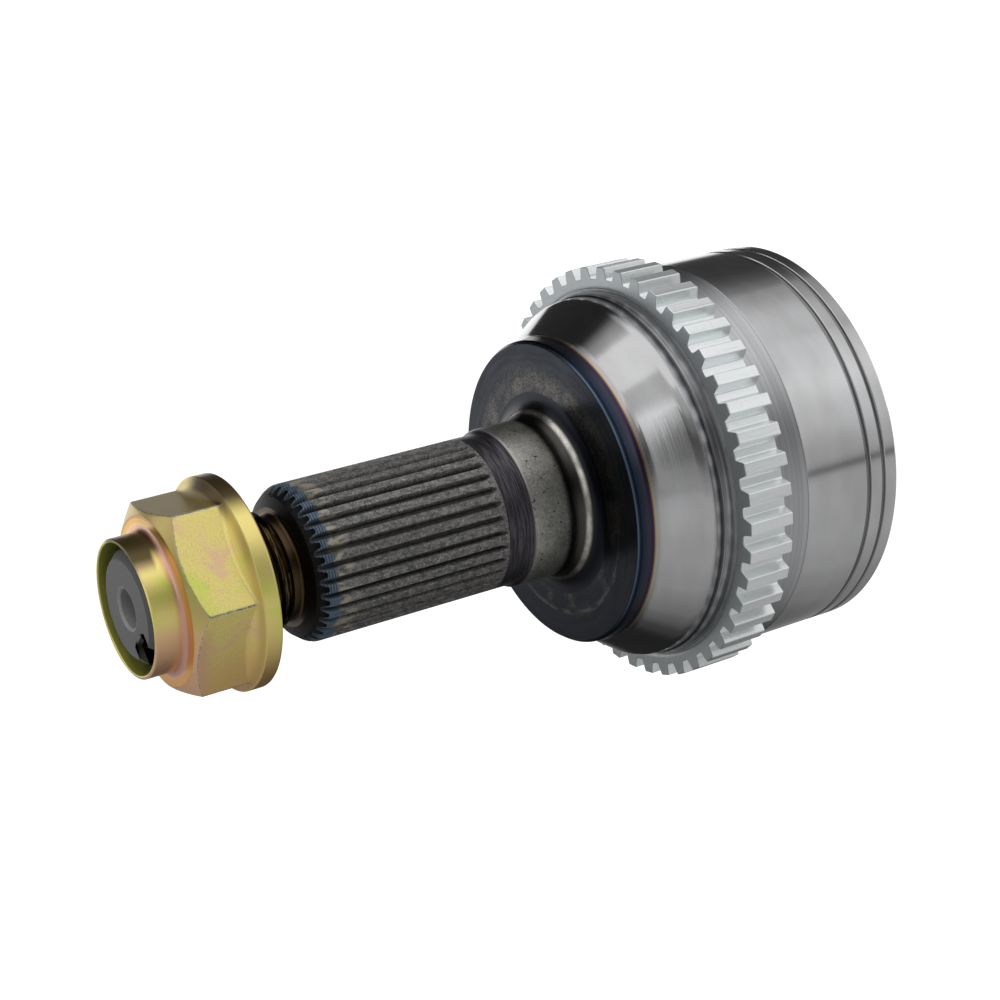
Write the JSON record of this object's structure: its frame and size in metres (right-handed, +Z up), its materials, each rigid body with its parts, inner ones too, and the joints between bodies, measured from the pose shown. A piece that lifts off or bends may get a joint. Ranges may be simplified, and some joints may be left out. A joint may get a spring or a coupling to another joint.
{
  "type": "cv joint",
  "caption": "Outer constant-velocity joint with a splined, threaded stub shaft, a hub nut, a wheel speed ring, and a caged ball mechanism in an open bell.",
  "frame": {"origin": "centre that the joint bends about, on the stub's axis, in the inner race's bore", "axes": "+X along the stub's axis from the nut to the bell's open mouth, +Z up, +Y away from the picture's viewer"},
  "size_m": [0.1411, 0.0808, 0.0808],
  "materials": {
    "bell_steel": "machined and ground steel, polished bell, heat-tinted blue and purple shoulder, dark spline and thread",
    "ring_zinc": "pressed steel with a dull face and bright blue-white zinc on the teeth",
    "nut_zinc": "yellow zinc passivate with green, pink and orange tints",
    "race_steel": "hardened and ground steel, lightly greased",
    "cage_steel": "hardened steel, dark, with ground windows",
    "ball_chrome": "polished bearing steel",
    "snap_steel": "phosphated spring steel"
  },
  "bodies": {
    "outer_race": {"outer_race": "bell_steel", "tone_ring": "ring_zinc"},
    "hub_nut": {"hub_nut": "nut_zinc"},
    "inner_race": {"inner_race": "race_steel", "snap_ring": "snap_steel"},
    "cage": {"cage": "cage_steel"},
    "ball_1": {"ball_1": "ball_chrome"},
    "ball_2": {"ball_2": "ball_chrome"},
    "ball_3": {"ball_3": "ball_chrome"},
    "ball_4": {"ball_4": "ball_chrome"},
    "ball_5": {"ball_5": "ball_chrome"},
    "ball_6": {"ball_6": "ball_chrome"}
  },
  "joints": [
    {"name": "articulation", "type": "hinge", "parent": "outer_race", "child": "inner_race", "pos_m": [0, 0, 0], "axis": [0, 0, 1], "range_deg": [-45, 45]},
    {"name": "cage_tilt", "type": "hinge", "parent": "outer_race", "child": "cage", "pos_m": [0, 0, 0], "axis": [0, 0, 1], "range_deg": [-23, 23]},
    {"name": "ball_1_roll_path", "type": "hinge", "parent": "outer_race", "child": "ball_1", "pos_m": [0.0034, 0, 0], "axis": [0, -0.866, -0.5], "range_deg": [-12, 12]},
    {"name": "ball_2_roll_path", "type": "hinge", "parent": "outer_race", "child": "ball_2", "pos_m": [0.0034, 0, 0], "axis": [0, 0, -1], "range_deg": [-23, 23]},
    {"name": "ball_3_roll_path", "type": "hinge", "parent": "outer_race", "child": "ball_3", "pos_m": [0.0034, 0, 0], "axis": [0, 0.866, -0.5], "range_deg": [-12, 12]},
    {"name": "ball_4_roll_path", "type": "hinge", "parent": "outer_race", "child": "ball_4", "pos_m": [0.0034, 0, 0], "axis": [0, 0.866, 0.5], "range_deg": [-12, 12]},
    {"name": "ball_5_roll_path", "type": "hinge", "parent": "outer_race", "child": "ball_5", "pos_m": [0.0034, 0, 0], "axis": [0, 0, 1], "range_deg": [-23, 23]},
    {"name": "ball_6_roll_path", "type": "hinge", "parent": "outer_race", "child": "ball_6", "pos_m": [0.0034, 0, 0], "axis": [0, -0.866, 0.5], "range_deg": [-12, 12]},
    {"name": "nut_travel", "type": "slide", "parent": "outer_race", "child": "hub_nut", "axis": [1, 0, 0], "range_m": [-0.02, 0.0065]}
  ],
  "couplings": [
    {"joint": "cage_tilt", "follows": "articulation", "ratio": 0.5},
    {"joint": "ball_1_roll_path", "follows": "articulation", "ratio": -0.26},
    {"joint": "ball_2_roll_path", "follows": "articulation", "ratio": -0.5},
    {"joint": "ball_3_roll_path", "follows": "articulation", "ratio": -0.26},
    {"joint": "ball_4_roll_path", "follows": "articulation", "ratio": 0.26},
    {"joint": "ball_5_roll_path", "follows": "articulation", "ratio": 0.5},
    {"joint": "ball_6_roll_path", "follows": "articulation", "ratio": 0.26}
  ]
}
